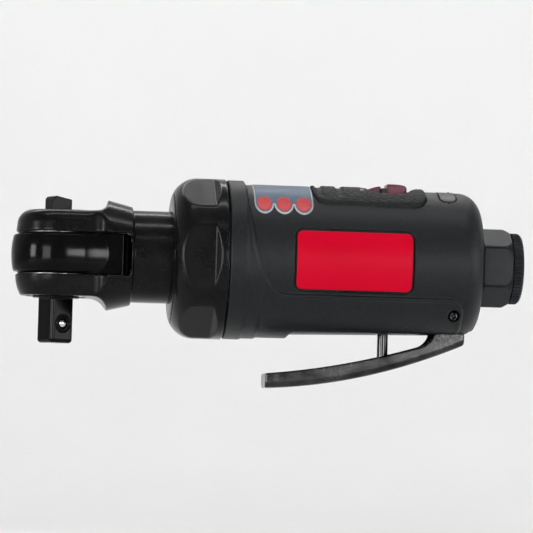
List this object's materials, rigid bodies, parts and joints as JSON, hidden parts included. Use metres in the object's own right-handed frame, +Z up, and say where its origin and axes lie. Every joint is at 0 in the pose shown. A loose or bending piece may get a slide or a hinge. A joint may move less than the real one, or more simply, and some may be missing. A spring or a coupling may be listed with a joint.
{
  "type": "air ratchet",
  "caption": "Compact pneumatic ratchet wrench with a square drive, forked head, clamp nut, throttle lever, flow regulator and threaded air inlet.",
  "frame": {"origin": "centre of the square drive's root, on the drive axis, where a socket's rim seats", "axes": "+X along the tool from the square drive to the air inlet, +Z up, out of the head on the reverse knob's side; the square drive points to -Z"},
  "size_m": [0.1209, 0.0378, 0.0491],
  "materials": {
    "black_steel": "glossy black oxide",
    "polished_black": "polished black oxide",
    "bright_steel": "ground bright",
    "gear_steel": "hardened, ground",
    "spring_steel": "drawn wire",
    "bronze": "sintered",
    "motor_aluminium": "machined",
    "handle_plastic": "fine texture",
    "grip_rubber": "textured",
    "name_plate_red": "gloss",
    "label_grey": "satin print",
    "inlay_black": "satin",
    "lever_gunmetal": "gunmetal",
    "knob_maroon": "gloss",
    "seal_rubber": "matte",
    "dark_anodised": "dark anodised",
    "dark_chrome": "dark chrome",
    "vane_composite": "phenolic",
    "felt_grey": "felt"
  },
  "bodies": {
    "tool": {"ratchet_housing": "black_steel", "thrust_washers": "gear_steel", "crank_bearing": "bright_steel", "ring_gear": "gear_steel", "gear_spacer": "gear_steel", "front_end_plate": "motor_aluminium", "rear_end_plate": "motor_aluminium", "front_bearing_outer_race": "bright_steel", "front_bearing_balls": "bright_steel", "rear_bearing_outer_race": "bright_steel", "rear_bearing_balls": "bright_steel", "motor_cylinder": "gear_steel", "cylinder_dowel": "bright_steel", "motor_case": "motor_aluminium", "clamp_nut": "black_steel", "handle_shell": "handle_plastic", "exhaust_muffler": "felt_grey", "exhaust_cover": "inlay_black", "grip_pad": "grip_rubber", "info_label": "label_grey", "name_plate": "name_plate_red", "top_inlay": "inlay_black", "stem_bushing": "dark_chrome", "stem_seal": "seal_rubber", "valve_seat": "bronze", "throttle_spring": "spring_steel", "lever_pin": "bright_steel", "inlet_bushing": "dark_anodised", "inlet_collar": "dark_anodised", "inlet_screen": "spring_steel"},
    "yoke": {"ratchet_yoke": "polished_black"},
    "drive": {"anvil": "polished_black", "pawl_pin": "bright_steel", "head_retaining_ring": "spring_steel", "detent_spring": "spring_steel"},
    "rocker": {"pawl": "gear_steel"},
    "reverser": {"reverse_knob": "black_steel", "reverse_shaft": "black_steel", "reverse_plunger": "bright_steel", "reverse_spring": "spring_steel"},
    "detent": {"detent_ball": "bright_steel"},
    "rotor_set": {"rotor": "gear_steel", "rotor_vanes": "vane_composite", "front_bearing_inner_race": "bright_steel", "rear_bearing_inner_race": "bright_steel"},
    "crank": {"crankshaft": "gear_steel", "drive_bushing": "bronze", "planet_pins": "bright_steel"},
    "planet_1": {"planet_gear_1": "gear_steel"},
    "planet_2": {"planet_gear_2": "gear_steel"},
    "planet_3": {"planet_gear_3": "gear_steel"},
    "lever": {"throttle_lever": "lever_gunmetal"},
    "valve": {"throttle_stem": "dark_chrome", "throttle_valve": "bronze"},
    "regulator": {"regulator_knob": "knob_maroon", "regulator_spool": "inlay_black", "regulator_seal": "seal_rubber"}
  },
  "joints": [
    {"name": "yoke_swing", "type": "hinge", "parent": "tool", "child": "yoke", "pos_m": [0, 0, 0.0104], "axis": [0, 0, 1], "range_deg": [-3, 3]},
    {"name": "anvil_spin", "type": "hinge", "parent": "tool", "child": "drive", "pos_m": [0, 0, 0], "axis": [0, 0, 1], "continuous": true},
    {"name": "pawl_rock", "type": "hinge", "parent": "drive", "child": "rocker", "pos_m": [-0.00495, 0, 0.0104], "axis": [0, 0, 1], "range_deg": [-3, 3]},
    {"name": "reverse_turn", "type": "hinge", "parent": "drive", "child": "reverser", "pos_m": [0, 0, 0.0209], "axis": [0, 0, 1], "range_deg": [-30, 30]},
    {"name": "detent_press", "type": "slide", "parent": "drive", "child": "detent", "axis": [-0.5519, 0.8339, 0], "range_m": [0, 0.0004], "stiffness_N_per_m": 300, "deforming": ["detent_spring"]},
    {"name": "rotor_spin", "type": "hinge", "parent": "tool", "child": "rotor_set", "pos_m": [0.05, 0, 0.0104], "axis": [1, 0, 0], "continuous": true},
    {"name": "crank_spin", "type": "hinge", "parent": "tool", "child": "crank", "pos_m": [0.025, 0, 0.0104], "axis": [1, 0, 0], "continuous": true},
    {"name": "planet_1_spin", "type": "hinge", "parent": "crank", "child": "planet_1", "pos_m": [0.036, 0.00675, 0.0104], "axis": [1, 0, 0], "continuous": true},
    {"name": "planet_2_spin", "type": "hinge", "parent": "crank", "child": "planet_2", "pos_m": [0.036, -0.00337, 0.01625], "axis": [1, 0, 0], "continuous": true},
    {"name": "planet_3_spin", "type": "hinge", "parent": "crank", "child": "planet_3", "pos_m": [0.036, -0.00337, 0.00455], "axis": [1, 0, 0], "continuous": true},
    {"name": "lever_press", "type": "hinge", "parent": "tool", "child": "lever", "pos_m": [0.0926, 0, -0.0017], "axis": [0, 1, 0], "range_deg": [0, 10], "stiffness_Nm_per_rad": 1.2, "springref_deg": -11.46},
    {"name": "stem_lift", "type": "slide", "parent": "tool", "child": "valve", "axis": [0, 0, 1], "range_m": [0, 0.00294], "deforming": ["throttle_spring"]},
    {"name": "regulator_turn", "type": "hinge", "parent": "tool", "child": "regulator", "pos_m": [0.0776, 0, 0.0254], "axis": [0, 0, 1], "range_deg": [-60, 60]}
  ],
  "couplings": [
    {"joint": "pawl_rock", "follows": "reverse_turn", "ratio": 0.1},
    {"joint": "crank_spin", "follows": "rotor_spin", "ratio": 0.22222},
    {"joint": "planet_1_spin", "follows": "rotor_spin", "ratio": -0.62222},
    {"joint": "planet_2_spin", "follows": "rotor_spin", "ratio": -0.62222},
    {"joint": "planet_3_spin", "follows": "rotor_spin", "ratio": -0.62222},
    {"joint": "stem_lift", "follows": "lever_press", "m_per_rad": 0.0168}
  ]
}
